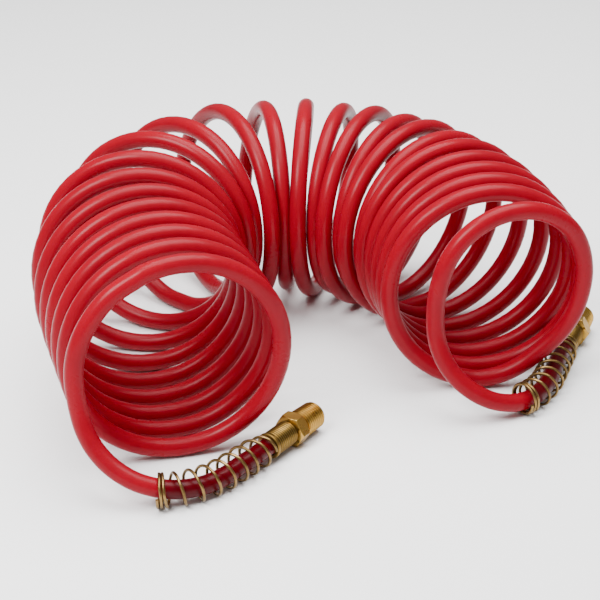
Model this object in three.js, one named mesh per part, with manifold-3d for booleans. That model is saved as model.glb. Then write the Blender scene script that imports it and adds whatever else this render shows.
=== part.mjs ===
// Recoil air hose: a self-storing coil of nylon tube, bent into a horseshoe on a flat surface, with a
// brass pipe-thread swivel fitting and a wire spring guard on each end.
// Millimetres, +Z up. The origin is in the middle of the footprint, on the surface the hose lies on.

import * as THREE from 'three';
import { mergeVertices } from 'three/addons/utils/BufferGeometryUtils.js';
import Module from 'manifold-3d';

// ---- Hose ----
const HOSE_OD = 8.5;
const HOSE_ID = 6.35;
const HOSE_SIDES = 8;
const HOSE_STEP = 8.5;

// ---- Coil: its axis lies in a level plane. It starts at COIL_START and turns to the right as it goes ----
const COIL_RADIUS = 47.3;
const COIL_HEIGHT = COIL_RADIUS + HOSE_OD / 2;
const COIL_START = { x: -60.9, y: -101.9, heading: 107.2 };

// Every second turn has a row: the pitch in mm, and the axis's bend in degrees for one turn.
const TURNS_PER_ROW = 2;
const COIL_LAY = [
  [17.8, 0], [14.6, 0], [15.9, 0.4], [20.8, 8.6], [26.6, 19.8], [23.7, 20], [17.8, 12.7],
  [15.4, 9.8], [14.8, 9.1], [14.8, 8.7], [14.5, 4.6], [13.6, 1.6], [12.5, 0],
];
const AXIS_STEPS = 48;

// Where the bend crowds the turns together, each one lies a little inside or outside its neighbours.
const STAGGER = 2.4;
const STAGGER_TURNS = { first: 8.5, last: 18.5, fade: 2 };

const COIL_SIDES = 20;
const COIL_STEPS = 34;

// The turns that the coil's solid stands for; what is wound before and after them belongs to the tails.
const FIRST_TURN = 0.55;
const LAST_TURN = 22;
const LEFT_WOUND = [0.02, 0.08, 0.14, 0.2];
const RIGHT_WOUND = [22.74, 22.7];

// ---- Free tails, from the fitting to the coil, as points of the hose's centreline ----
const LEFT_TAIL = [
  [-37.1, -110.2, 6.9], [-42.2, -116.5, 6.5], [-48, -122.2, 6.5], [-55.2, -127, 6.9],
  [-63.8, -130.2, 7.8], [-73.1, -131.3, 9.8], [-82.5, -130.3, 13], [-91.7, -127.3, 18.4],
  [-99.3, -123.2, 26.6], [-104, -119.1, 38.4],
];
const RIGHT_TAIL = [
  [112.6, -22.9, 6.9], [108.3, -34.3, 6.4], [103.2, -43.6, 6.3], [96.9, -50.9, 6.5], [89.1, -55.9, 7.4],
  [80.4, -58.8, 9.9], [71.6, -59.6, 14.3], [63.4, -58.6, 20.6], [56.6, -56.3, 29.2],
  [52.4, -53.4, 40.3], [51.5, -51.5, 53], [52.6, -51.2, 65.1], [56.1, -49.8, 76.7], [62.4, -47.6, 86.3],
  [71, -44.8, 93.1], [80.8, -41.7, 96.9], [91, -38.5, 97.6], [100.7, -35.1, 95.2], [109.3, -32.1, 89.9],
  [116.2, -29.3, 82.3], [120.8, -27.2, 72.4], [122.9, -25.9, 61.8], [122.6, -25.3, 51.5],
  [120.3, -25.3, 41.2], [115.9, -25.3, 31.8], [110.2, -25.5, 24.3], [103.4, -25.8, 17.7],
  [96.2, -26.2, 11.6], [86.9, -26.6, 6.6],
];

// ---- Fittings: where each one's sleeve starts, and the way its nose points in plan ----
const FITTING_HEIGHT = 7.3;
const LEFT_SEAT = { x: -24.6, y: -94.4, heading: 54 };
const RIGHT_SEAT = { x: 121.8, y: 1.2, heading: 68 };

// ---- One fitting, measured along its own axis from the back of the sleeve ----
const ROUND_SIDES = 20;
const SLEEVE_LENGTH = 15;
const SLEEVE_RADIUS = 5.85;
const SLEEVE_LIP_RADIUS = 6.2;
const SLEEVE_LIP_LENGTH = 1.2;
const SLEEVE_LIP_EDGE = 0.5;
const SLEEVE_FIRST_GROOVE = 1.6;
const SLEEVE_RIM = 0.9;
const SLEEVE_BORE = 4.5;
const SLEEVE_GROOVES = 8;
const SLEEVE_GROOVE_DEPTH = 0.35;
const SLEEVE_LIP_BORE = 3.3;
const HOSE_END = 12.7;
const STRAIGHT_PLACES = [HOSE_END, 6, 0, -6, -12];
const STEM_BORE = 2.2;
const STEM_TAIL = 1.5;
const STEM_BARBS = 5;
const BARB_RADIUS = 3.0;
const BARB_ROOT = 2.7;
const BARB_CREST = 0.85;
const BARB_STEP = 0.95;
const COLLAR_GAP = 0.3;
const COLLAR_START = 13.0;
const COLLAR_END = 13.8;
const COLLAR_RADIUS = 4.2;
const NECK_RADIUS = 3.1;
const HEAD_START = 20.1;
const HEAD_END = 26;
const HEAD_RADIUS = 4.05;
const SEAL_MIDDLE = 23.3;
const SEAL_GROOVE_HALF = 0.8;
const SEAL_GROOVE_RADIUS = 2.75;
const SEAL_RADIUS = 3.45;
const SEAL_SECTION = 0.6;
const SEAL_SIDES = 6;
const RING_START = 18.7;
const RING_THICKNESS = 1.0;
const RING_INNER = 3.3;
const RING_OUTER = 4.6;
const RING_GROOVE = 4.85;
const RING_OPENING = 50;
const RING_PLAY = 0.15;

const NOSE_START = 15.4;
const HEX_ACROSS_FLATS = 14.3;
const HEX_LENGTH = 6;
const HEX_CHAMFER = 0.7;
const HEX_FACE_RADIUS = HEX_ACROSS_FLATS / 2 + 0.1;
const HEX_ROUNDING_RADIUS = 8.36;
const NOSE_END = 35.8;
const CAVITY_RADIUS = 4.18;
const CAVITY_END = 27;
const NOSE_BORE = 3.0;
const THREAD_MAJOR = 6.85;
const THREAD_PITCH = 1.411;
const THREAD_DEPTH = 0.95;
const THREAD_TURNS = 9;
const THREAD_TAPER = 1 / 32;
const THREAD_NECK = 5.75;
const THREAD_RELIEF = 0.6;
const THREAD_CREST_HALF = 0.1;
const NOSE_FACE_RADIUS = 5.45;
const CAVITY_CONE = 0.8;
const CUT_PAST = 1;

// ---- Spring guard: a wire wound round the hose behind the sleeve ----
const WIRE_DIAMETER = 1.4;
const WIRE_SIDES = 5;
const GUARD_RADIUS = 7.2;
const GUARD_HEIGHT = GUARD_RADIUS + WIRE_DIAMETER / 2;
const GUARD_FRONT_RADIUS = 5.5;
const GUARD_LENGTH = 61;
const GUARD_FRONT_GAP = 1.1;
const GUARD_OPEN_TURNS = 8;
const GUARD_CLOSED_BACK = 2;
const GUARD_CLOSED_PITCH = 1.65;
const GUARD_POINTS_PER_TURN = 10;

const wasm = await Module();
wasm.setup();

const UP = new THREE.Vector3(0, 0, 1);
const nylon = new THREE.MeshStandardMaterial({ color: 0xc81e28, roughness: 0.32, metalness: 0 });
const brass = new THREE.MeshStandardMaterial({ color: 0xb58a3c, roughness: 0.35, metalness: 1 });
const agedBrass = new THREE.MeshStandardMaterial({ color: 0x8a6a30, roughness: 0.45, metalness: 1 });
const springWire = new THREE.MeshStandardMaterial({ color: 0x9a7640, roughness: 0.4, metalness: 1 });
const springSteel = new THREE.MeshStandardMaterial({ color: 0x8d9094, roughness: 0.35, metalness: 1 });
const nitrile = new THREE.MeshStandardMaterial({ color: 0x141414, roughness: 0.7, metalness: 0 });

function named(name, geometry, material) {
  const mesh = new THREE.Mesh(geometry, material);
  mesh.name = name;
  return mesh;
}

// ---- Solids joined and cut ----

function toManifold(geometry) {
  const bare = geometry.clone();
  bare.deleteAttribute('normal');
  bare.deleteAttribute('uv');
  const merged = mergeVertices(bare, 1e-5);
  const vertProperties = new Float32Array(merged.attributes.position.array);
  const triVerts = new Uint32Array(merged.index.array);
  return new wasm.Manifold(new wasm.Mesh({ numProp: 3, vertProperties, triVerts }));
}

function toGeometry(solid) {
  const mesh = solid.getMesh();
  const geometry = new THREE.BufferGeometry();
  geometry.setAttribute('position', new THREE.BufferAttribute(new Float32Array(mesh.vertProperties), 3));
  geometry.setIndex(new THREE.BufferAttribute(new Uint32Array(mesh.triVerts), 1));
  geometry.computeVertexNormals();
  return geometry;
}

// A solid of revolution about its own Y axis, from [radius, height] corners that close on themselves.
function turned(corners) {
  const outline = corners.map(([radius, height]) => new THREE.Vector2(radius, height));
  outline.push(outline[0].clone());
  return new THREE.LatheGeometry(outline, ROUND_SIDES);
}

function polygon(radius, sides) {
  const points = [];
  for (let i = 0; i < sides; i += 1) {
    const angle = (i / sides) * 2 * Math.PI;
    points.push(new THREE.Vector2(radius * Math.cos(angle), radius * Math.sin(angle)));
  }
  return points;
}

function swept(outline, path, steps) {
  return new THREE.ExtrudeGeometry(outline, { steps, bevelEnabled: false, extrudePath: path });
}

// ---- Hose ----

// The pitch (column 0) or the bend (column 1) on a turn, between the rows on each side of it.
function laid(turn, column) {
  const place = turn / TURNS_PER_ROW;
  const row = Math.min(Math.floor(place), COIL_LAY.length - 2);
  return THREE.MathUtils.lerp(COIL_LAY[row][column], COIL_LAY[row + 1][column], place - row);
}

// The axis as a line of short steps, each with its place and its heading in radians.
function coilAxis() {
  let { x, y } = COIL_START;
  let heading = THREE.MathUtils.degToRad(COIL_START.heading);
  const steps = [{ x, y, heading }];
  const count = (COIL_LAY.length - 1) * TURNS_PER_ROW * AXIS_STEPS;
  for (let i = 0; i < count; i += 1) {
    const turn = (i + 0.5) / AXIS_STEPS;
    const bend = THREE.MathUtils.degToRad(laid(turn, 1)) / AXIS_STEPS;
    const pitch = laid(turn, 0) / AXIS_STEPS;
    x += pitch * Math.cos(heading - bend / 2);
    y += pitch * Math.sin(heading - bend / 2);
    heading -= bend;
    steps.push({ x, y, heading });
  }
  return steps;
}

const AXIS = coilAxis();

function axisAt(turn) {
  const place = turn * AXIS_STEPS;
  const before = Math.floor(place);
  const here = AXIS[before];
  const next = AXIS[before + 1];
  const share = place - before;
  return {
    centre: new THREE.Vector3(
      THREE.MathUtils.lerp(here.x, next.x, share), THREE.MathUtils.lerp(here.y, next.y, share), COIL_HEIGHT),
    heading: THREE.MathUtils.lerp(here.heading, next.heading, share),
  };
}

// The hose's centreline on its turn number `turn`: it climbs the outer side of the horseshoe first.
function woundPoint(turn) {
  const { centre, heading } = axisAt(turn);
  const { first, last, fade } = STAGGER_TURNS;
  const angle = 2 * Math.PI * turn;
  const crowded = THREE.MathUtils.smoothstep(Math.min(turn - first, last - turn), -fade / 2, fade / 2);
  const inner = (1 - Math.cos(angle)) / 2;
  const radius = COIL_RADIUS + STAGGER * crowded * inner * Math.sin(Math.PI * turn);
  const outward = new THREE.Vector3(-Math.sin(heading), Math.cos(heading), 0);
  return centre
    .addScaledVector(outward, radius * Math.cos(angle))
    .addScaledVector(UP, radius * Math.sin(angle));
}

function seatDirection(seat) {
  const angle = THREE.MathUtils.degToRad(seat.heading);
  return new THREE.Vector3(Math.cos(angle), Math.sin(angle), 0);
}

function seatPoint(seat, distance) {
  return new THREE.Vector3(seat.x, seat.y, FITTING_HEIGHT).addScaledVector(seatDirection(seat), distance);
}

// A tail's centreline: straight through the sleeve, along its free points, then into the first wound turns.
function tailCurve(seat, tail, woundTurns) {
  const points = STRAIGHT_PLACES.map((distance) => seatPoint(seat, distance));
  points.push(...tail.map(([x, y, z]) => new THREE.Vector3(x, y, z)));
  points.push(...woundTurns.map(woundPoint));
  return new THREE.CatmullRomCurve3(points, false, 'catmullrom');
}

const leftTail = tailCurve(LEFT_SEAT, LEFT_TAIL, LEFT_WOUND);
const rightTail = tailCurve(RIGHT_SEAT, RIGHT_TAIL, RIGHT_WOUND);

function hoseCoil() {
  const points = [];
  for (let i = 0; i <= COIL_STEPS; i += 1) {
    points.push(axisAt(FIRST_TURN + (i / COIL_STEPS) * (LAST_TURN - FIRST_TURN)).centre);
  }
  const path = new THREE.CatmullRomCurve3(points, false, 'catmullrom');
  const outline = new THREE.Shape(polygon(COIL_HEIGHT, COIL_SIDES));
  return named('hose_coil', swept(outline, path, COIL_STEPS), nylon);
}

function hoseTail(name, curve) {
  const outline = new THREE.Shape(polygon(HOSE_OD / 2, HOSE_SIDES));
  const bore = HOSE_ID / 2 / Math.cos(Math.PI / HOSE_SIDES);
  outline.holes.push(new THREE.Path(polygon(bore, HOSE_SIDES)));
  const steps = Math.round(curve.getLength() / HOSE_STEP);
  return named(name, swept(outline, curve, steps), nylon);
}

// ---- Spring guard ----

// Turn by turn, how far behind its front end the wire is.
function guardDistance(turn) {
  const openPitch = (GUARD_LENGTH - GUARD_CLOSED_PITCH * GUARD_CLOSED_BACK) / GUARD_OPEN_TURNS;
  const closed = Math.max(turn - GUARD_OPEN_TURNS, 0);
  return (turn - closed) * openPitch + closed * GUARD_CLOSED_PITCH;
}

// The wire lies on the surface, with the hose loose inside it. Its first turn widens from the sleeve's back.
function springGuard(name, curve) {
  const length = curve.getLength();
  const points = [];
  for (let i = 0; i <= (GUARD_OPEN_TURNS + GUARD_CLOSED_BACK) * GUARD_POINTS_PER_TURN; i += 1) {
    const turn = i / GUARD_POINTS_PER_TURN;
    const at = (HOSE_END + GUARD_FRONT_GAP + guardDistance(turn)) / length;
    const centre = curve.getPointAt(at);
    const widened = Math.min(turn, 1);
    centre.z = THREE.MathUtils.lerp(FITTING_HEIGHT, GUARD_HEIGHT, widened);
    const radius = THREE.MathUtils.lerp(GUARD_FRONT_RADIUS, GUARD_RADIUS, widened);
    const side = new THREE.Vector3().crossVectors(UP, curve.getTangentAt(at)).normalize();
    const angle = 2 * Math.PI * turn;
    centre.addScaledVector(side, radius * Math.cos(angle)).addScaledVector(UP, radius * Math.sin(angle));
    points.push(centre);
  }
  const wire = new THREE.CatmullRomCurve3(points, false, 'catmullrom');
  const outline = new THREE.Shape(polygon(WIRE_DIAMETER / 2, WIRE_SIDES));
  return named(name, swept(outline, wire, points.length), springWire);
}

// ---- Fitting ----

function crimpSleeve(name) {
  const grooved = SLEEVE_RADIUS - SLEEVE_GROOVE_DEPTH;
  const corners = [
    [SLEEVE_BORE, 0], [SLEEVE_RADIUS - SLEEVE_GROOVE_DEPTH, 0], [SLEEVE_LIP_RADIUS, SLEEVE_LIP_EDGE],
    [SLEEVE_LIP_RADIUS, SLEEVE_LIP_LENGTH],
  ];
  const pitch = (SLEEVE_LENGTH - SLEEVE_RIM - SLEEVE_FIRST_GROOVE) / SLEEVE_GROOVES;
  for (let i = 0; i < SLEEVE_GROOVES; i += 1) {
    corners.push([grooved, SLEEVE_FIRST_GROOVE + i * pitch]);
    corners.push([SLEEVE_RADIUS, SLEEVE_FIRST_GROOVE + (i + 0.5) * pitch]);
  }
  corners.push([grooved, SLEEVE_LENGTH - SLEEVE_RIM], [grooved, SLEEVE_LENGTH]);
  corners.push([SLEEVE_LIP_BORE, SLEEVE_LENGTH]);
  corners.push([SLEEVE_LIP_BORE, COLLAR_END + COLLAR_GAP], [SLEEVE_BORE, COLLAR_END + COLLAR_GAP]);
  return named(name, turned(corners), agedBrass);
}

function barbedStem(name) {
  const corners = [[STEM_BORE, STEM_TAIL], [BARB_ROOT, STEM_TAIL]];
  const pitch = (COLLAR_START - STEM_TAIL) / (STEM_BARBS + 0.5);
  for (let i = 0; i < STEM_BARBS; i += 1) {
    corners.push([BARB_RADIUS, STEM_TAIL + (i + BARB_CREST) * pitch]);
    corners.push([BARB_ROOT, STEM_TAIL + (i + BARB_STEP) * pitch]);
  }
  const grooveBack = SEAL_MIDDLE - SEAL_GROOVE_HALF;
  const grooveFront = SEAL_MIDDLE + SEAL_GROOVE_HALF;
  corners.push([BARB_ROOT, COLLAR_START], [COLLAR_RADIUS, COLLAR_START]);
  corners.push([COLLAR_RADIUS, COLLAR_END], [NECK_RADIUS, COLLAR_END]);
  corners.push([NECK_RADIUS, HEAD_START], [HEAD_RADIUS, HEAD_START]);
  corners.push([HEAD_RADIUS, grooveBack], [SEAL_GROOVE_RADIUS, grooveBack]);
  corners.push([SEAL_GROOVE_RADIUS, grooveFront], [HEAD_RADIUS, grooveFront]);
  corners.push([HEAD_RADIUS, HEAD_END], [STEM_BORE, HEAD_END]);
  return named(name, turned(corners), brass);
}

function sealRing(name) {
  const corners = polygon(SEAL_SECTION, SEAL_SIDES).map((p) => [SEAL_RADIUS + p.x, SEAL_MIDDLE + p.y]);
  return named(name, turned(corners), nitrile);
}

// A flat snap ring, open on one side so that it can be sprung into its groove.
function retainingRing(name) {
  const half = THREE.MathUtils.degToRad(RING_OPENING / 2);
  const outline = new THREE.Shape();
  outline.absarc(0, 0, RING_OUTER, half, 2 * Math.PI - half, false);
  outline.absarc(0, 0, RING_INNER, 2 * Math.PI - half, half, true);
  const geometry = new THREE.ExtrudeGeometry(outline, {
    depth: RING_THICKNESS, steps: 1, bevelEnabled: false, curveSegments: ROUND_SIDES,
  });
  geometry.rotateX(-Math.PI / 2);
  geometry.translate(0, RING_START, 0);
  return named(name, geometry, springSteel);
}

function hexagon() {
  const corner = HEX_ACROSS_FLATS / Math.sqrt(3);
  const end = NOSE_START + HEX_LENGTH;
  const prism = new THREE.CylinderGeometry(corner, corner, HEX_LENGTH, 6);
  prism.rotateY(Math.PI / 6);
  prism.translate(0, NOSE_START + HEX_LENGTH / 2, 0);
  const rounding = turned([
    [0, NOSE_START], [HEX_FACE_RADIUS, NOSE_START], [HEX_ROUNDING_RADIUS, NOSE_START + HEX_CHAMFER],
    [HEX_ROUNDING_RADIUS, end - HEX_CHAMFER], [HEX_FACE_RADIUS, end], [0, end],
  ]);
  return toManifold(prism).intersect(toManifold(rounding));
}

function taperThread() {
  const hexEnd = NOSE_START + HEX_LENGTH;
  const start = hexEnd + THREAD_RELIEF;
  const corners = [[0, hexEnd - CUT_PAST], [THREAD_NECK, hexEnd - CUT_PAST], [THREAD_NECK, start]];
  for (let i = 0; i < THREAD_TURNS; i += 1) {
    const height = start + (i + 0.5) * THREAD_PITCH;
    const crest = THREAD_MAJOR - i * THREAD_PITCH * THREAD_TAPER;
    corners.push([crest, height - THREAD_CREST_HALF]);
    corners.push([crest, height + THREAD_CREST_HALF]);
    corners.push([crest - THREAD_DEPTH, height + THREAD_PITCH / 2]);
  }
  corners.push([NOSE_FACE_RADIUS, NOSE_END], [0, NOSE_END]);
  return toManifold(turned(corners));
}

function threadedNose(name) {
  const grooveBack = RING_START - RING_PLAY;
  const grooveFront = RING_START + RING_THICKNESS + RING_PLAY;
  const hollow = toManifold(turned([
    [0, NOSE_START - CUT_PAST], [CAVITY_RADIUS, NOSE_START - CUT_PAST],
    [CAVITY_RADIUS, grooveBack], [RING_GROOVE, grooveBack],
    [RING_GROOVE, grooveFront], [CAVITY_RADIUS, grooveFront],
    [CAVITY_RADIUS, CAVITY_END], [NOSE_BORE, CAVITY_END + CAVITY_CONE],
    [NOSE_BORE, NOSE_END + CUT_PAST], [0, NOSE_END + CUT_PAST],
  ]));
  const solid = hexagon().add(taperThread()).subtract(hollow);
  return named(name, toGeometry(solid), brass);
}

function fitting(side, seat) {
  const group = new THREE.Group();
  group.add(crimpSleeve(`${side}_crimp_sleeve`));
  group.add(barbedStem(`${side}_barbed_stem`));
  group.add(sealRing(`${side}_seal_ring`));
  group.add(retainingRing(`${side}_retaining_ring`));
  group.add(threadedNose(`${side}_threaded_nose`));
  group.position.set(seat.x, seat.y, FITTING_HEIGHT);
  group.rotation.z = THREE.MathUtils.degToRad(seat.heading - 90);
  return group;
}

const hose = new THREE.Group();
hose.add(hoseCoil());
hose.add(hoseTail('left_hose_tail', leftTail));
hose.add(hoseTail('right_hose_tail', rightTail));
hose.add(springGuard('left_spring_guard', leftTail));
hose.add(springGuard('right_spring_guard', rightTail));
hose.add(fitting('left', LEFT_SEAT));
hose.add(fitting('right', RIGHT_SEAT));

export default hose;
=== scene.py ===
"""A coiled recoil air hose: a wound nylon tube with a brass swivel fitting and a spring guard on each end."""

import math

import bmesh
import bpy
from bpy.props import FloatProperty, FloatVectorProperty, IntProperty, PointerProperty
from mathutils import Matrix, Vector


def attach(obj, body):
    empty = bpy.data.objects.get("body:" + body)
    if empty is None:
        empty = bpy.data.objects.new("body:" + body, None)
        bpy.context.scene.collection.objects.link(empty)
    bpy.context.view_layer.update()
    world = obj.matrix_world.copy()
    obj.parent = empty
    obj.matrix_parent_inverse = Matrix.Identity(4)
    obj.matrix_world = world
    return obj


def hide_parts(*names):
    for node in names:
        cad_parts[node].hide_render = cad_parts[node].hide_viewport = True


bl_info = {
    "name": "Coiled recoil air hose",
    "version": (1, 0, 0),
    "blender": (4, 5, 0),
    "location": "View3D > Sidebar > Air Hose",
    "description": "Builds a coiled nylon air hose with its brass swivel fittings and spring guards",
    "category": "Add Mesh",
}

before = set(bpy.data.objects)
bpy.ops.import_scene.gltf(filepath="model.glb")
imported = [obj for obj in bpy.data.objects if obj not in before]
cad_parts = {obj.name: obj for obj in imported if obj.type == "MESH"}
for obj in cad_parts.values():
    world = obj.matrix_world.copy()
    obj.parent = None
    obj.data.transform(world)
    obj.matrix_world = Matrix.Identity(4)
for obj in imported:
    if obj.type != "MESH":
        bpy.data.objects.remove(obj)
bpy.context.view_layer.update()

MM = 0.001
UP = Vector((0, 0, 1))

# ---- The hose's route, in metres. The coil's axis is level, and turns to the right as it goes ----
COIL_START = (-0.0609, -0.1019)
COIL_HEADING = 107.2

# Every second turn has a row: the pitch, and the axis's bend in degrees for one turn.
TURNS_PER_ROW = 2
COIL_LAY = [
    (0.0178, 0), (0.0146, 0), (0.0159, 0.4), (0.0208, 8.6), (0.0266, 19.8), (0.0237, 20), (0.0178, 12.7),
    (0.0154, 9.8), (0.0148, 9.1), (0.0148, 8.7), (0.0145, 4.6), (0.0136, 1.6), (0.0125, 0),
]
AXIS_STEPS = 48

# Where the bend crowds the turns together, each one lies a little inside or outside its neighbours.
STAGGER = 0.0024
STAGGER_FIRST, STAGGER_LAST = 8.5, 18.5
STAGGER_FADE = 2

FIRST_WOUND_TURN = 0.2
LAST_WOUND_TURN = 22.7
LEFT_WOUND = (0.02, 0.08, 0.14, 0.2)
RIGHT_WOUND = (22.74, 22.7)

# Each tail runs from its fitting to the coil.
LEFT_TAIL = [
    (-0.0371, -0.1102, 0.0069), (-0.0422, -0.1165, 0.0065), (-0.048, -0.1222, 0.0065),
    (-0.0552, -0.127, 0.0069), (-0.0638, -0.1302, 0.0078), (-0.0731, -0.1313, 0.0098),
    (-0.0825, -0.1303, 0.013), (-0.0917, -0.1273, 0.0184), (-0.0993, -0.1232, 0.0266),
    (-0.104, -0.1191, 0.0384),
]
RIGHT_TAIL = [
    (0.1126, -0.0229, 0.0069), (0.1083, -0.0343, 0.0064), (0.1032, -0.0436, 0.0063),
    (0.0969, -0.0509, 0.0065), (0.0891, -0.0559, 0.0074), (0.0804, -0.0588, 0.0099),
    (0.0716, -0.0596, 0.0143), (0.0634, -0.0586, 0.0206), (0.0566, -0.0563, 0.0292),
    (0.0524, -0.0534, 0.0403), (0.0515, -0.0515, 0.053), (0.0526, -0.0512, 0.0651),
    (0.0561, -0.0498, 0.0767), (0.0624, -0.0476, 0.0863), (0.071, -0.0448, 0.0931),
    (0.0808, -0.0417, 0.0969), (0.091, -0.0385, 0.0976), (0.1007, -0.0351, 0.0952),
    (0.1093, -0.0321, 0.0899), (0.1162, -0.0293, 0.0823), (0.1208, -0.0272, 0.0724),
    (0.1229, -0.0259, 0.0618), (0.1226, -0.0253, 0.0515), (0.1203, -0.0253, 0.0412),
    (0.1159, -0.0253, 0.0318), (0.1102, -0.0255, 0.0243), (0.1034, -0.0258, 0.0177),
    (0.0962, -0.0262, 0.0116), (0.0869, -0.0266, 0.0066),
]

# ---- Fittings: the back of each sleeve, and the way the nose points in plan ----
FITTING_HEIGHT = 0.0073
SEATS = {"left": (-0.0246, -0.0944, 54), "right": (0.1218, 0.0012, 68)}
HOSE_END = 0.0127
STRAIGHT_PLACES = (HOSE_END, 0.006, 0, -0.006, -0.012)

HOSE_BODY = "hose"
SWIVEL_BODY = {"left": "left_swivel", "right": "right_swivel"}


# ---- Settings a user would change ----

class AirHoseTube(bpy.types.PropertyGroup):
    """The nylon tube and the coil it is wound into"""

    diameter: FloatProperty(
        name="Outside diameter", description="Outside of the tube", default=8.5 * MM, subtype="DISTANCE")
    coil_radius: FloatProperty(
        name="Coil radius", description="Coil axis to the tube's centreline", default=47.3 * MM,
        subtype="DISTANCE")
    points_per_turn: IntProperty(
        name="Points per turn", description="Curve points in each wound turn", default=56, min=12)
    colour: FloatVectorProperty(
        name="Colour", description="Dyed nylon", default=(0.225, 0, 0.008), subtype="COLOR", min=0, max=1)
    shade: FloatVectorProperty(
        name="Shaded colour", description="Where the dye is densest", default=(0.09, 0, 0.003),
        subtype="COLOR", min=0, max=1)


class AirHoseGuard(bpy.types.PropertyGroup):
    """The spring guard behind each fitting"""

    wire: FloatProperty(name="Wire", description="Wire diameter", default=1.4 * MM, subtype="DISTANCE")
    radius: FloatProperty(
        name="Radius", description="Guard's own axis to the wire's middle", default=7.2 * MM,
        subtype="DISTANCE")
    length: FloatProperty(
        name="Length", description="Length along the hose", default=61 * MM, subtype="DISTANCE")
    open_turns: IntProperty(name="Open turns", description="Turns that stand apart", default=8, min=1)
    closed_back: IntProperty(name="Closed back turns", description="Turns that touch at the back", default=2)
    colour: FloatVectorProperty(
        name="Colour", description="Plated wire", default=(0.25, 0.155, 0.055), subtype="COLOR", min=0, max=1)


class AirHoseFitting(bpy.types.PropertyGroup):
    """The swivel nose and the crimped sleeve"""

    across_flats: FloatProperty(
        name="Across flats", description="Hexagon across its flats", default=14.3 * MM, subtype="DISTANCE")
    thread_pitch: FloatProperty(
        name="Thread pitch", description="Taper pipe thread, 18 to the inch", default=1.411 * MM,
        subtype="DISTANCE")
    thread_depth: FloatProperty(
        name="Thread depth", description="Crest to root", default=0.95 * MM, subtype="DISTANCE")
    groove_pitch: FloatProperty(
        name="Groove pitch", description="Grooves on the sleeve", default=1.25 * MM, subtype="DISTANCE")
    groove_depth: FloatProperty(
        name="Groove depth", description="Depth of the sleeve's grooves", default=0.42 * MM,
        subtype="DISTANCE")
    brass: FloatVectorProperty(
        name="Brass", description="Turned brass", default=(0.50, 0.29, 0.06), subtype="COLOR", min=0, max=1)
    aged: FloatVectorProperty(
        name="Aged brass", description="Darkened brass", default=(0.24, 0.14, 0.035), subtype="COLOR",
        min=0, max=1)


class AirHoseStage(bpy.types.PropertyGroup):
    """Floor, lights and camera"""

    floor: FloatVectorProperty(
        name="Floor", description="Pale floor", default=(0.86, 0.86, 0.86), subtype="COLOR", min=0, max=1)
    key_power: FloatProperty(
        name="Key light", description="Power of the light at the left", default=22, min=0)
    overhead_power: FloatProperty(
        name="Overhead light", description="Power of the wide light overhead", default=40, min=0)
    world: FloatProperty(
        name="Surroundings", description="Strength of the white surroundings", default=0.35, min=0)


# ---- The route ----

def catmull_rom(points, place):
    """A point on the curve through the points; place counts spans from the first one."""
    last = len(points) - 1
    span = min(max(int(math.floor(place)), 0), last - 1)
    w = place - span
    here, there = Vector(points[span]), Vector(points[span + 1])
    before = Vector(points[span - 1]) if span > 0 else 2 * here - there
    after = Vector(points[span + 2]) if span + 2 <= last else 2 * there - here
    leave, arrive = (there - before) / 2, (after - here) / 2
    return here + leave * w + (3 * (there - here) - 2 * leave - arrive) * w**2 \
        + (2 * (here - there) + leave + arrive) * w**3


def laid(turn):
    """Pitch and bend of the coil on the given turn."""
    place = min(turn / TURNS_PER_ROW, len(COIL_LAY) - 1)
    row = min(int(place), len(COIL_LAY) - 2)
    return [a + (b - a) * (place - row) for a, b in zip(COIL_LAY[row], COIL_LAY[row + 1])]


def coil_axis():
    """Plan points and headings of the coil's axis, from its first turn to its last."""
    (x, y), heading = COIL_START, math.radians(COIL_HEADING)
    places = [(x, y, heading)]
    for i in range((len(COIL_LAY) - 1) * TURNS_PER_ROW * AXIS_STEPS):
        pitch, bend = laid((i + 0.5) / AXIS_STEPS)
        turn = math.radians(bend) / AXIS_STEPS
        x += pitch / AXIS_STEPS * math.cos(heading - turn / 2)
        y += pitch / AXIS_STEPS * math.sin(heading - turn / 2)
        heading -= turn
        places.append((x, y, heading))
    return places


AXIS = coil_axis()


def stagger_at(turn):
    """How far the turn lies outside the coil's own radius; the most at the inner side of the bend."""
    from_edge = min(turn - STAGGER_FIRST, STAGGER_LAST - turn)
    inside = min(max(from_edge / STAGGER_FADE + 0.5, 0), 1)
    crowded = inside * inside * (3 - 2 * inside) * (1 - math.cos(2 * math.pi * turn)) / 2
    return STAGGER * crowded * math.sin(math.pi * turn)


def wound_point(turn, tube):
    """The tube's centreline on the given turn of the coil, never lower than lying on the surface."""
    step = min(int(turn * AXIS_STEPS), len(AXIS) - 2)
    share = turn * AXIS_STEPS - step
    x, y, heading = (a + (b - a) * share for a, b in zip(AXIS[step], AXIS[step + 1]))
    outward = Vector((-math.sin(heading), math.cos(heading), 0))
    angle = 2 * math.pi * turn
    height = tube.coil_radius + tube.diameter / 2
    radius = tube.coil_radius + stagger_at(turn)
    point = Vector((x, y, height)) + radius * (math.cos(angle) * outward + math.sin(angle) * UP)
    point.z = max(point.z, tube.diameter / 2)
    return point


def seat_direction(side):
    heading = math.radians(SEATS[side][2])
    return Vector((math.cos(heading), math.sin(heading), 0))


def seat_point(side, distance):
    x, y, _ = SEATS[side]
    return Vector((x, y, FITTING_HEIGHT)) + distance * seat_direction(side)


def tail_points(side, tube, samples=6):
    """A tail's centreline from inside its sleeve to its first wound turn."""
    free, turns = (LEFT_TAIL, LEFT_WOUND) if side == "left" else (RIGHT_TAIL, RIGHT_WOUND)
    guides = [seat_point(side, place) for place in STRAIGHT_PLACES]
    guides += [Vector(point) for point in free]
    guides += [wound_point(turn, tube) for turn in turns]
    spans = len(guides) - 1
    return [catmull_rom(guides, i / samples) for i in range(spans * samples + 1)]


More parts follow.
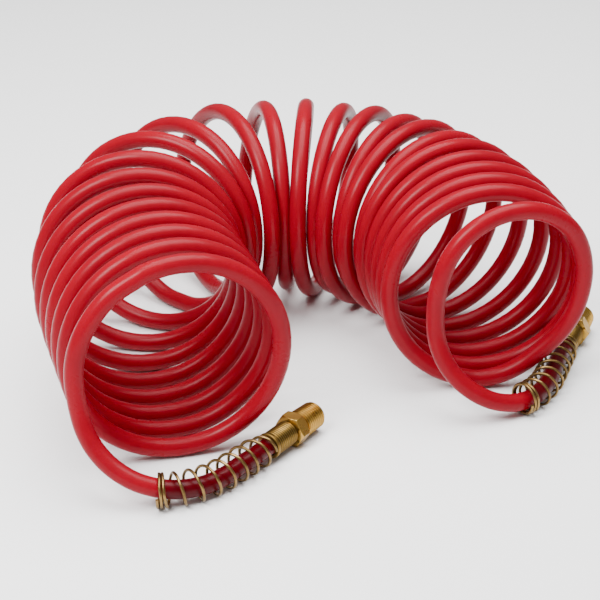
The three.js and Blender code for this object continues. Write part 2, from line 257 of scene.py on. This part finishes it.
def coil_points(tube):
    count = int((LAST_WOUND_TURN - FIRST_WOUND_TURN) * tube.points_per_turn)
    step = (LAST_WOUND_TURN - FIRST_WOUND_TURN) / count
    return [wound_point(FIRST_WOUND_TURN + i * step, tube) for i in range(1, count)]


def route(tube):
    return tail_points("left", tube) + coil_points(tube) + tail_points("right", tube)[::-1]


class Walk:
    """Places along a line of points by their distance from its start."""

    def __init__(self, points):
        self.points = points
        self.reached = [0.0]
        for a, b in zip(points, points[1:]):
            self.reached.append(self.reached[-1] + (b - a).length)

    def at(self, distance):
        i = 0
        while i < len(self.points) - 2 and self.reached[i + 1] < distance:
            i += 1
        a, b = self.points[i], self.points[i + 1]
        share = (distance - self.reached[i]) / (b - a).length
        return a.lerp(b, share), (b - a).normalized()


# ---- Making pieces ----

def link(piece):
    bpy.context.scene.collection.objects.link(piece)
    return piece


def round_wire(name, points, radius, sides):
    """A curve of one open spline through the points, with a round section and closed ends."""
    data = bpy.data.curves.new(name, "CURVE")
    data.dimensions = "3D"
    data.bevel_depth = radius
    data.bevel_resolution = sides // 4
    data.use_fill_caps = True
    spline = data.splines.new("POLY")
    spline.points.add(len(points) - 1)
    for target, point in zip(spline.points, points):
        target.co = (*point, 1)
    spline.use_smooth = True
    return link(bpy.data.objects.new(name, data))


def round_tube(mesh, points, radius, sides):
    """Adds a tube round the points, with a flat cap on each end, and returns its untwisted rings."""
    along = (points[1] - points[0]).normalized()
    across = UP.cross(along).normalized()
    rings = []
    for i, point in enumerate(points):
        ahead, behind = points[min(i + 1, len(points) - 1)], points[max(i - 1, 0)]
        along = (ahead - behind).normalized()
        across = (across - across.dot(along) * along).normalized()
        over = along.cross(across)
        ring = []
        for side in range(sides):
            angle = 2 * math.pi * side / sides
            ring.append(mesh.verts.new(point + radius * (math.cos(angle) * across + math.sin(angle) * over)))
        rings.append(ring)
    for ring, after in zip(rings, rings[1:]):
        for side in range(sides):
            nearby = (side + 1) % sides
            mesh.faces.new((ring[side], ring[nearby], after[nearby], after[side]))
    mesh.faces.new(rings[0][::-1])
    mesh.faces.new(rings[-1])
    return rings


def turned_mesh(profile, segments):
    """A bmesh turned about Z from the profile's [radius, height] corners, which close on themselves."""
    mesh = bmesh.new()
    corners = [mesh.verts.new((radius, 0, height)) for radius, height in profile]
    edges = [mesh.edges.new((a, b)) for a, b in zip(corners, corners[1:] + corners[:1])]
    bmesh.ops.spin(
        mesh, geom=corners + edges, cent=(0, 0, 0), axis=(0, 0, 1), angle=2 * math.pi, steps=segments,
        use_merge=True)
    return mesh


def set_radius(mesh, low, high, inner, rule):
    """Moves the vertices outside the inner radius, from low to high, to the radius that the rule gives.

    The rule also gives how deep in a groove each vertex lies, from 0 to 1, which the material darkens as
    painted shade.
    """
    groove = mesh.verts.layers.float.get("Groove") or mesh.verts.layers.float.new("Groove")
    slack = 1e-7
    for vertex in mesh.verts:
        radius = math.hypot(vertex.co.x, vertex.co.y)
        if low - slack <= vertex.co.z <= high + slack and radius > inner:
            wanted, depth = rule(math.atan2(vertex.co.y, vertex.co.x), vertex.co.z, radius)
            vertex[groove] = depth
            vertex.co.x *= wanted / radius
            vertex.co.y *= wanted / radius


def fitting_matrix(side):
    """Turns Z to the way the fitting points, and X to straight up."""
    forward = seat_direction(side)
    sideways = forward.cross(UP)
    turn = Matrix((UP, sideways, forward)).transposed().to_4x4()
    return Matrix.Translation(seat_point(side, 0)) @ turn


def finished(name, mesh, matrix, material, sharp_degrees=32):
    """Places the bmesh, turns its faces out and makes it an object."""
    bmesh.ops.transform(mesh, matrix=matrix, verts=mesh.verts)
    bmesh.ops.recalc_face_normals(mesh, faces=mesh.faces)
    for face in mesh.faces:
        face.smooth = True
    data = bpy.data.meshes.new(name)
    mesh.to_mesh(data)
    mesh.free()
    data.set_sharp_from_angle(angle=math.radians(sharp_degrees))
    data.materials.append(material)
    return link(bpy.data.objects.new(name, data))


def steps_between(low, high, count):
    return [low + (high - low) * i / count for i in range(count + 1)]


# ---- Node groups and materials ----

PATCH_GAIN, PATCH_OFFSET = 2.6, -0.9
SPECKLE_GAIN, SPECKLE_OFFSET = 0.7, -0.3
TARNISH_ROUGHENING = 0.18
# Painted shade in the roots of threads and grooves: how fast it grows with depth, and the share of its colour
# a root keeps.
GROOVE_SHADE_FALLOFF = 1.6
GROOVE_PAINTED_SHADE_SHARE = 0.18
# Painted shade: the share of its colour that the hose keeps where a spring guard covers it.
UNDER_GUARD_PAINTED_SHADE_SHARE = 0.3
AGED_IN_DARK_BRASS = 0.55
DARK_OF_AGED = 0.5


def node_group(name, inputs, outputs):
    """An empty shader group with named float sockets, its input and output nodes and its tree."""
    tree = bpy.data.node_groups.new(name, "ShaderNodeTree")
    tree.interface.new_socket("Vector", in_out="INPUT", socket_type="NodeSocketVector")
    for label, default in inputs:
        socket = tree.interface.new_socket(label, in_out="INPUT", socket_type="NodeSocketFloat")
        socket.default_value = default
    for label in outputs:
        tree.interface.new_socket(label, in_out="OUTPUT", socket_type="NodeSocketFloat")
    return tree, tree.nodes.new("NodeGroupInput"), tree.nodes.new("NodeGroupOutput")


def math_node(tree, operation, first, second=None, clamp=False):
    node = tree.nodes.new("ShaderNodeMath")
    node.operation = operation
    node.use_clamp = clamp
    for socket, value in zip(node.inputs, (first, second)):
        if isinstance(value, bpy.types.NodeSocket):
            tree.links.new(value, socket)
        elif value is not None:
            socket.default_value = value
    return node.outputs[0]


def tarnish_group():
    """Cloudy patches with a fine speckle on them, from 0 on clean metal to 1 on darkened metal."""
    if "Tarnish" in bpy.data.node_groups:
        return bpy.data.node_groups["Tarnish"]
    tree, source, sink = node_group("Tarnish", [("Patch Scale", 90.0), ("Speckle Scale", 900.0)], ["Mask"])
    patches = tree.nodes.new("ShaderNodeTexNoise")
    patches.inputs["Detail"].default_value = 3
    speckle = tree.nodes.new("ShaderNodeTexNoise")
    speckle.inputs["Detail"].default_value = 2
    for node, label in ((patches, "Patch Scale"), (speckle, "Speckle Scale")):
        tree.links.new(source.outputs["Vector"], node.inputs["Vector"])
        tree.links.new(source.outputs[label], node.inputs["Scale"])
    cloudy = math_node(tree, "MULTIPLY_ADD", patches.outputs["Fac"], PATCH_GAIN)
    cloudy.node.inputs[2].default_value = PATCH_OFFSET
    fine = math_node(tree, "MULTIPLY_ADD", speckle.outputs["Fac"], SPECKLE_GAIN)
    fine.node.inputs[2].default_value = SPECKLE_OFFSET
    tree.links.new(math_node(tree, "ADD", cloudy, fine, clamp=True), sink.inputs["Mask"])
    return tree


def draw_lines_group():
    """Faint lines that run along a drawn or turned surface, as a height."""
    if "Draw lines" in bpy.data.node_groups:
        return bpy.data.node_groups["Draw lines"]
    tree, source, sink = node_group("Draw lines", [("Along", 1.0), ("Across", 60.0)], ["Height"])
    stretch = tree.nodes.new("ShaderNodeCombineXYZ")
    tree.links.new(source.outputs["Along"], stretch.inputs["X"])
    tree.links.new(source.outputs["Across"], stretch.inputs["Y"])
    tree.links.new(source.outputs["Across"], stretch.inputs["Z"])
    scaled = tree.nodes.new("ShaderNodeVectorMath")
    scaled.operation = "MULTIPLY"
    tree.links.new(source.outputs["Vector"], scaled.inputs[0])
    tree.links.new(stretch.outputs["Vector"], scaled.inputs[1])
    lines = tree.nodes.new("ShaderNodeTexNoise")
    lines.inputs["Scale"].default_value = 1
    lines.inputs["Detail"].default_value = 2
    tree.links.new(scaled.outputs[0], lines.inputs["Vector"])
    tree.links.new(lines.outputs["Fac"], sink.inputs["Height"])
    return tree


def new_material(name):
    material = bpy.data.materials.new(name)
    material.use_nodes = True
    tree = material.node_tree
    return material, tree, tree.nodes["Principled BSDF"]


def placed_group(tree, group, vector, **values):
    node = tree.nodes.new("ShaderNodeGroup")
    node.node_tree = group
    tree.links.new(vector, node.inputs["Vector"])
    for label, value in values.items():
        node.inputs[label.replace("_", " ")].default_value = value
    return node


def mixed_colour(tree, mask, first, second):
    mix = tree.nodes.new("ShaderNodeMix")
    mix.data_type = "RGBA"
    mix.inputs["A"].default_value = (*first, 1)
    mix.inputs["B"].default_value = (*second, 1)
    tree.links.new(mask, mix.inputs["Factor"])
    return mix.outputs["Result"]


def groove_shade_mask(tree):
    """Painted shade in the bottom of a groove, from how deep each vertex lies."""
    attribute = tree.nodes.new("ShaderNodeAttribute")
    attribute.attribute_name = "Groove"
    return math_node(tree, "POWER", attribute.outputs["Fac"], GROOVE_SHADE_FALLOFF, clamp=True)


def darkened(tree, colour, mask, share):
    """The colour, down to the given share of itself where the mask is 1."""
    mix = tree.nodes.new("ShaderNodeMix")
    mix.data_type = "RGBA"
    mix.blend_type = "MULTIPLY"
    mix.inputs["B"].default_value = (share, share, share, 1)
    tree.links.new(mask, mix.inputs["Factor"])
    tree.links.new(colour, mix.inputs["A"])
    return mix.outputs["Result"]


def ranged(tree, value, low, high):
    node = tree.nodes.new("ShaderNodeMapRange")
    node.inputs["To Min"].default_value = low
    node.inputs["To Max"].default_value = high
    tree.links.new(value, node.inputs["Value"])
    return node.outputs["Result"]


def bumped(tree, shader, height, distance, strength=1.0):
    bump = tree.nodes.new("ShaderNodeBump")
    bump.inputs["Distance"].default_value = distance
    bump.inputs["Strength"].default_value = strength
    tree.links.new(height, bump.inputs["Height"])
    tree.links.new(bump.outputs["Normal"], shader.inputs["Normal"])


def nylon_material(tube):
    """Glossy dyed nylon, a little cloudy, with faint lines from the die along its length, and painted shade
    that darkens it under the spring guards.
    """
    material, tree, shader = new_material("Red nylon")
    coordinates = tree.nodes.new("ShaderNodeTexCoord")
    cloud = placed_group(
        tree, tarnish_group(), coordinates.outputs["Object"], Patch_Scale=22.0, Speckle_Scale=400.0)
    painted_guard_shade, straight = tree.nodes.new("ShaderNodeAttribute"), tree.nodes.new("ShaderNodeAttribute")
    painted_guard_shade.attribute_name, straight.attribute_name = "Painted shade under guard", "Straight tube"
    colour = mixed_colour(tree, ranged(tree, cloud.outputs["Mask"], 0.0, 0.35), tube.colour, tube.shade)
    # Painted shade: the hose is darker under the spring guards.
    shaded = darkened(tree, colour, painted_guard_shade.outputs["Fac"], UNDER_GUARD_PAINTED_SHADE_SHARE)
    tree.links.new(shaded, shader.inputs["Base Color"])
    tree.links.new(ranged(tree, cloud.outputs["Mask"], 0.26, 0.36), shader.inputs["Roughness"])
    lines = placed_group(tree, draw_lines_group(), straight.outputs["Vector"], Along=12.0, Across=900.0)
    bumped(tree, shader, lines.outputs["Height"], 0.00004, 0.4)
    shader.inputs["IOR"].default_value = 1.53
    shader.inputs["Specular IOR Level"].default_value = 0.1
    shader.inputs["Subsurface Weight"].default_value = 0.12
    shader.inputs["Subsurface Radius"].default_value = (1.0, 0.08, 0.05)
    shader.inputs["Subsurface Scale"].default_value = 0.002
    return material


def metal_material(name, bright, dark, roughness, patch_scale=110.0, grain=0.00002):
    """Bare metal, darkened in patches, with the fine marks of turning or drawing, and painted shade in the
    roots of any grooves.
    """
    material, tree, shader = new_material(name)
    coordinates = tree.nodes.new("ShaderNodeTexCoord")
    tarnish = placed_group(
        tree, tarnish_group(), coordinates.outputs["Object"], Patch_Scale=patch_scale, Speckle_Scale=1400.0)
    colour = mixed_colour(tree, tarnish.outputs["Mask"], bright, dark)
    # Painted shade in the roots of threads and grooves.
    groove_shaded = darkened(tree, colour, groove_shade_mask(tree), GROOVE_PAINTED_SHADE_SHARE)
    tree.links.new(groove_shaded, shader.inputs["Base Color"])
    rougher = ranged(tree, tarnish.outputs["Mask"], roughness, roughness + TARNISH_ROUGHENING)
    tree.links.new(rougher, shader.inputs["Roughness"])
    bumped(tree, shader, tarnish.outputs["Mask"], grain, 0.6)
    shader.inputs["Metallic"].default_value = 1
    return material


def rubber_material():
    """Matt black nitrile."""
    material, tree, shader = new_material("Nitrile")
    coordinates = tree.nodes.new("ShaderNodeTexCoord")
    bloom = placed_group(
        tree, tarnish_group(), coordinates.outputs["Object"], Patch_Scale=300.0, Speckle_Scale=2500.0)
    colour = mixed_colour(tree, bloom.outputs["Mask"], (0.012, 0.012, 0.013), (0.03, 0.03, 0.032))
    tree.links.new(colour, shader.inputs["Base Color"])
    tree.links.new(ranged(tree, bloom.outputs["Mask"], 0.6, 0.8), shader.inputs["Roughness"])
    return material


def shared_material(name, make):
    return bpy.data.materials.get(name) or make()


def brass_material(fitting):
    bright_share = 1 - AGED_IN_DARK_BRASS
    dark = tuple(AGED_IN_DARK_BRASS * a + bright_share * b for a, b in zip(fitting.aged, fitting.brass))
    return shared_material("Brass", lambda: metal_material("Brass", tuple(fitting.brass), dark, 0.24))


def aged_brass_material(fitting):
    dark = tuple(DARK_OF_AGED * value for value in fitting.aged)
    return shared_material(
        "Aged brass", lambda: metal_material("Aged brass", tuple(fitting.aged), dark, 0.34))


# ---- Operators ----

class AIRHOSE_OT_tube(bpy.types.Operator):
    """Makes the whole hose, its coil and both tails, as one tube"""

    bl_idname = "airhose.tube"
    bl_label = "Hose"

    sides = 20
    # Length over which the painted shade under each guard fades in.
    fade = 4 * MM

    def add_tube(self, mesh, points, radius, guard):
        """Adds the tube, marked for painted shade where a guard covers it, with each corner's place along and
        round it.
        """
        painted_guard_shade = mesh.verts.layers.float.new("Painted shade under guard")
        straight = mesh.verts.layers.float_vector.new("Straight tube")
        rings = round_tube(mesh, points, radius, self.sides)
        walk = Walk(points)
        whole, reach = walk.reached[-1], HOSE_END + guard.length
        for ring, distance in zip(rings, walk.reached):
            from_end = min(distance, whole - distance)
            painted_guard_shade_amount = min(max((reach - from_end) / self.fade, 0), 1)
            for side, corner in enumerate(ring):
                angle = 2 * math.pi * side / self.sides
                corner[painted_guard_shade] = painted_guard_shade_amount
                corner[straight] = (distance, radius * math.cos(angle), radius * math.sin(angle))

    def execute(self, context):
        tube = context.scene.airhose_tube
        points = route(tube)
        guard = context.scene.airhose_guard
        mesh = bmesh.new()
        self.add_tube(mesh, points, tube.diameter / 2, guard)
        hose = finished("hose", mesh, Matrix.Identity(4), nylon_material(tube), 60)
        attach(hose, HOSE_BODY)
        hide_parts("hose_coil", "left_hose_tail", "right_hose_tail")
        return {"FINISHED"}


class AIRHOSE_OT_guards(bpy.types.Operator):
    """Winds a spring guard round each tail, behind the sleeve"""

    bl_idname = "airhose.guards"
    bl_label = "Spring guards"

    front_gap = 1.1 * MM
    front_radius = 5.5 * MM
    closed_pitch = 1.5 * MM
    points_per_turn = 28

    def place(self, guard, turn):
        """Distance from the sleeve's back of the wire on the given turn."""
        open_pitch = (guard.length - self.closed_pitch * guard.closed_back) / guard.open_turns
        closed = max(turn - guard.open_turns, 0)
        return self.front_gap + (turn - closed) * open_pitch + closed * self.closed_pitch

    def wire_points(self, guard, tube, side):
        """The wire lies on the surface; its first turn widens from the back of the sleeve."""
        walk = Walk(tail_points(side, tube))
        resting = guard.radius + guard.wire / 2
        points = []
        for i in range((guard.open_turns + guard.closed_back) * self.points_per_turn + 1):
            turn = i / self.points_per_turn
            centre, along = walk.at(HOSE_END + self.place(guard, turn))
            widened = min(turn, 1)
            centre.z = FITTING_HEIGHT + (resting - FITTING_HEIGHT) * widened
            radius = self.front_radius + (guard.radius - self.front_radius) * widened
            beside = UP.cross(along).normalized()
            angle = 2 * math.pi * turn
            points.append(centre + radius * (math.cos(angle) * beside + math.sin(angle) * UP))
        return points

    def execute(self, context):
        guard = context.scene.airhose_guard
        tube = context.scene.airhose_tube
        dark = tuple(0.45 * value for value in guard.colour)
        wire = metal_material("Guard wire", tuple(guard.colour), dark, 0.28, 160.0)
        for side in SEATS:
            piece = round_wire(f"{side}_guard_wire", self.wire_points(guard, tube, side), guard.wire / 2, 12)
            piece.data.materials.append(wire)
            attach(piece, HOSE_BODY)
            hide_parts(f"{side}_spring_guard")
        return {"FINISHED"}


class AIRHOSE_OT_noses(bpy.types.Operator):
    """Turns each swivel nose: hexagon, taper thread and passage in one piece"""

    bl_idname = "airhose.noses"
    bl_label = "Swivel noses"

    back = 15.4 * MM
    hexagon_end = 21.4 * MM
    thread_start = 22.0 * MM
    thread_end = 34.7 * MM
    front = 35.8 * MM
    cavity = 4.18 * MM
    cavity_end = 27 * MM
    passage = 3.0 * MM
    neck = 5.75 * MM
    face = 5.45 * MM
    crest = 6.85 * MM
    taper = 1 / 32
    chamfer_radius = 7.0 * MM
    chamfer = 0.8 * MM
    chamfer_steps = 6
    steps_per_thread = 12
    cone = 0.8 * MM
    edge = 0.25 * MM
    crest_share = 0.12
    flank_share = 0.76
    run_in_turns = 0.6
    lead_slope = 0.9
    skin = 0.1 * MM
    segments = 96

    def profile(self, fitting):
        """Corners from the back of the hexagon, over the outside and back through the passage."""
        flats = fitting.across_flats / 2
        corners = [(self.cavity + self.edge, self.back)]
        back_chamfer = steps_between(self.back, self.back + self.chamfer, self.chamfer_steps)
        corners += [(flats, height) for height in back_chamfer]
        front_chamfer = steps_between(self.hexagon_end - self.chamfer, self.hexagon_end, self.chamfer_steps)
        corners += [(flats, height) for height in front_chamfer]
        corners += [(self.neck, self.hexagon_end)]
        threads = (self.front - self.thread_start) / fitting.thread_pitch
        count = round(threads * self.steps_per_thread)
        corners += [(self.neck, height) for height in steps_between(self.thread_start, self.front, count)]
        corners += [(self.passage + self.edge, self.front), (self.passage, self.front - self.edge)]
        corners += [(self.passage, self.cavity_end + self.cone), (self.cavity, self.cavity_end)]
        corners += [(self.cavity, self.back + self.edge)]
        return corners

    def hexagon_radius(self, fitting):
        def rule(angle, height, _):
            sixth = math.pi / 3
            off_flat = (angle + sixth / 2) % sixth - sixth / 2
            flat = fitting.across_flats / 2 / math.cos(off_flat)
            from_end = min(height - self.back, self.hexagon_end - height)
            return min(flat, self.chamfer_radius + from_end * math.sqrt(3)), 0
        return rule

    def thread_radius(self, fitting):
        def rule(angle, height, _):
            turns = (height - self.thread_start) / fitting.thread_pitch - angle / (2 * math.pi)
            off_crest = abs(turns % 1 - 0.5) * 2
            cut = min(max((off_crest - self.crest_share) / self.flank_share, 0), 1)
            crest = self.crest - (height - self.thread_start) * self.taper
            radius = crest - cut * fitting.thread_depth
            run_in = min((height - self.thread_start) / (self.run_in_turns * fitting.thread_pitch), 1)
            lead = self.face + (self.front - height) * self.lead_slope
            return min(self.neck + (radius - self.neck) * run_in, lead), cut * run_in
        return rule

    def execute(self, context):
        fitting = context.scene.airhose_fitting
        for side, body in SWIVEL_BODY.items():
            mesh = turned_mesh(self.profile(fitting), self.segments)
            hexagon, thread = self.hexagon_radius(fitting), self.thread_radius(fitting)
            set_radius(mesh, self.back, self.hexagon_end, fitting.across_flats / 2 - self.skin, hexagon)
            set_radius(mesh, self.thread_start, self.front, self.neck - self.skin, thread)
            piece = finished(f"{side}_nose", mesh, fitting_matrix(side), brass_material(fitting))
            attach(piece, body)
            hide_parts(f"{side}_threaded_nose")
        return {"FINISHED"}


class AIRHOSE_OT_sleeves(bpy.types.Operator):
    """Turns each crimp sleeve with its rounded back lip and fine grooves"""

    bl_idname = "airhose.sleeves"
    bl_label = "Crimp sleeves"

    length = 15 * MM
    bore = 4.5 * MM
    lip_bore = 3.3 * MM
    lip_back = 14.1 * MM
    lip_radius = 6.2 * MM
    radius = 5.85 * MM
    lip_middle = 0.75 * MM
    groove_start = 1.6 * MM
    groove_end = 13.9 * MM
    groove_shape = 0.7
    lip_steps = 8
    steps_per_groove = 8
    rim_steps = (0.25 * MM, 0.45 * MM)
    rim_edge = 0.2 * MM
    skin = 0.5 * MM
    segments = 72

    def profile(self, fitting):
        corners = [(self.bore, 0)]
        for i in range(self.lip_steps + 1):
            angle = math.pi * i / self.lip_steps
            across = self.lip_middle * math.cos(angle)
            radius = self.lip_radius - self.lip_middle * (1 - math.sin(angle))
            corners.append((radius, self.lip_middle - across))
        grooves = (self.groove_end - self.groove_start) / fitting.groove_pitch
        count = round(grooves * self.steps_per_groove)
        grooved = steps_between(self.groove_start, self.groove_end, count)
        corners += [(self.radius, height) for height in grooved]
        rim, face = (self.radius - step for step in self.rim_steps)
        corners += [(rim, self.groove_end + self.rim_edge), (rim, self.length - self.rim_edge)]
        corners += [(face, self.length)]
        corners += [(self.lip_bore, self.length), (self.lip_bore, self.lip_back), (self.bore, self.lip_back)]
        return corners

    def groove_radius(self, fitting):
        def rule(angle, height, radius):
            turns = (height - self.groove_start) / fitting.groove_pitch - angle / (2 * math.pi)
            depth = (0.5 - 0.5 * math.cos(2 * math.pi * turns)) ** self.groove_shape
            return radius - fitting.groove_depth * depth, depth
        return rule

    def execute(self, context):
        fitting = context.scene.airhose_fitting
        for side in SEATS:
            mesh = turned_mesh(self.profile(fitting), self.segments)
            rule = self.groove_radius(fitting)
            set_radius(mesh, self.groove_start, self.groove_end, self.bore + self.skin, rule)
            piece = finished(f"{side}_sleeve", mesh, fitting_matrix(side), aged_brass_material(fitting), 40)
            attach(piece, HOSE_BODY)
            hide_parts(f"{side}_crimp_sleeve")
        return {"FINISHED"}


class AIRHOSE_OT_inner_parts(bpy.types.Operator):
    """Gives the stems, seals and retaining rings their finishes"""

    bl_idname = "airhose.inner_parts"
    bl_label = "Inner parts"

    def execute(self, context):
        fitting = context.scene.airhose_fitting
        steel = metal_material("Snap ring steel", (0.50, 0.51, 0.53), (0.30, 0.31, 0.33), 0.25)
        rubber = rubber_material()
        for side in SEATS:
            finishes = {"barbed_stem": brass_material(fitting), "retaining_ring": steel, "seal_ring": rubber}
            for piece, material in finishes.items():
                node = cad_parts[f"{side}_{piece}"]
                node.data.materials.clear()
                node.data.materials.append(material)
        return {"FINISHED"}


class AIRHOSE_OT_declare(bpy.types.Operator):
    """Works out the hose's route, and does nothing more with it"""

    bl_idname = "airhose.declare"
    bl_label = "Hose facts"

    def execute(self, context):
        tube = context.scene.airhose_tube
        points = route(tube)
        return {"FINISHED"}


class AIRHOSE_OT_stage(bpy.types.Operator):
    """Sets the floor, the soft lights and the camera"""

    bl_idname = "airhose.stage"
    bl_label = "Stage"

    target = Vector((-0.0104, -0.0358, 0.05108))
    distance = 0.7667
    elevation = math.radians(26.53)
    lens = 98.63
    floor_drop = 0.0002
    floor_reach = 4
    sensor_width = 36
    key_place, key_size = (-0.5, -0.5, 0.9), 0.55
    overhead_place, overhead_size = (0.1, 0.1, 1.2), 1.2

    def execute(self, context):
        stage = context.scene.airhose_stage
        self.floor(stage)
        self.surroundings(stage)
        self.soft_light("Key light", self.key_place, self.key_size, stage.key_power)
        self.soft_light("Overhead light", self.overhead_place, self.overhead_size, stage.overhead_power)
        self.camera(context.scene)
        return {"FINISHED"}

    def floor(self, stage):
        mesh = bmesh.new()
        below = Matrix.Translation((0, 0, -self.floor_drop))
        bmesh.ops.create_grid(mesh, x_segments=1, y_segments=1, size=self.floor_reach, matrix=below)
        material, tree, shader = new_material("Pale floor")
        coordinates = tree.nodes.new("ShaderNodeTexCoord")
        cloud = placed_group(
            tree, tarnish_group(), coordinates.outputs["Object"], Patch_Scale=3.0, Speckle_Scale=60.0)
        darker = tuple(0.985 * value for value in stage.floor)
        colour = mixed_colour(tree, cloud.outputs["Mask"], tuple(stage.floor), darker)
        tree.links.new(colour, shader.inputs["Base Color"])
        shader.inputs["Roughness"].default_value = 0.9
        finished("floor", mesh, Matrix.Identity(4), material)

    def surroundings(self, stage):
        world = bpy.data.worlds.new("White surroundings")
        world.use_nodes = True
        background = world.node_tree.nodes["Background"]
        background.inputs["Color"].default_value = (1, 1, 1, 1)
        background.inputs["Strength"].default_value = stage.world
        bpy.context.scene.world = world

    def soft_light(self, name, place, size, power):
        data = bpy.data.lights.new(name, "AREA")
        data.shape = "DISK"
        data.size = size
        data.energy = power
        light = link(bpy.data.objects.new(name, data))
        light.location = place
        light.rotation_euler = (self.target - Vector(place)).to_track_quat("-Z", "Y").to_euler()

    def camera(self, scene):
        data = bpy.data.cameras.new("Camera")
        data.sensor_width = self.sensor_width
        data.lens = self.lens
        data.clip_start = 0.01
        camera = link(bpy.data.objects.new("Camera", data))
        back = Vector((0, -math.cos(self.elevation), math.sin(self.elevation)))
        camera.location = self.target + self.distance * back
        camera.rotation_euler = (-back).to_track_quat("-Z", "Y").to_euler()
        scene.camera = camera


class AIRHOSE_PT_panel(bpy.types.Panel):
    """Lists the pieces and their settings"""

    bl_idname = "AIRHOSE_PT_panel"
    bl_label = "Air Hose"
    bl_space_type = "VIEW_3D"
    bl_region_type = "UI"
    bl_category = "Air Hose"

    def draw(self, context):
        for label, (_, settings) in SETTINGS.items():
            box = self.layout.box()
            box.label(text=settings.__doc__)
            group = getattr(context.scene, label)
            for name in settings.__annotations__:
                box.prop(group, name)
        for operator in OPERATORS:
            self.layout.operator(operator.bl_idname)


SETTINGS = {
    "airhose_tube": ("Tube", AirHoseTube),
    "airhose_guard": ("Guard", AirHoseGuard),
    "airhose_fitting": ("Fitting", AirHoseFitting),
    "airhose_stage": ("Stage", AirHoseStage),
}
OPERATORS = (
    AIRHOSE_OT_stage, AIRHOSE_OT_tube, AIRHOSE_OT_guards, AIRHOSE_OT_sleeves, AIRHOSE_OT_noses,
    AIRHOSE_OT_inner_parts, AIRHOSE_OT_declare,
)


def register():
    for label, (_, settings) in SETTINGS.items():
        bpy.utils.register_class(settings)
        setattr(bpy.types.Scene, label, PointerProperty(type=settings))
    for operator in OPERATORS:
        bpy.utils.register_class(operator)
    bpy.utils.register_class(AIRHOSE_PT_panel)


def unregister():
    bpy.utils.unregister_class(AIRHOSE_PT_panel)
    for operator in reversed(OPERATORS):
        bpy.utils.unregister_class(operator)
    for label, (_, settings) in SETTINGS.items():
        delattr(bpy.types.Scene, label)
        bpy.utils.unregister_class(settings)


def main():
    register()
    bpy.ops.airhose.stage()
    bpy.ops.airhose.tube()
    bpy.ops.airhose.guards()
    bpy.ops.airhose.sleeves()
    bpy.ops.airhose.noses()
    bpy.ops.airhose.inner_parts()
    bpy.ops.airhose.declare()


if __name__ == "__main__":
    main()
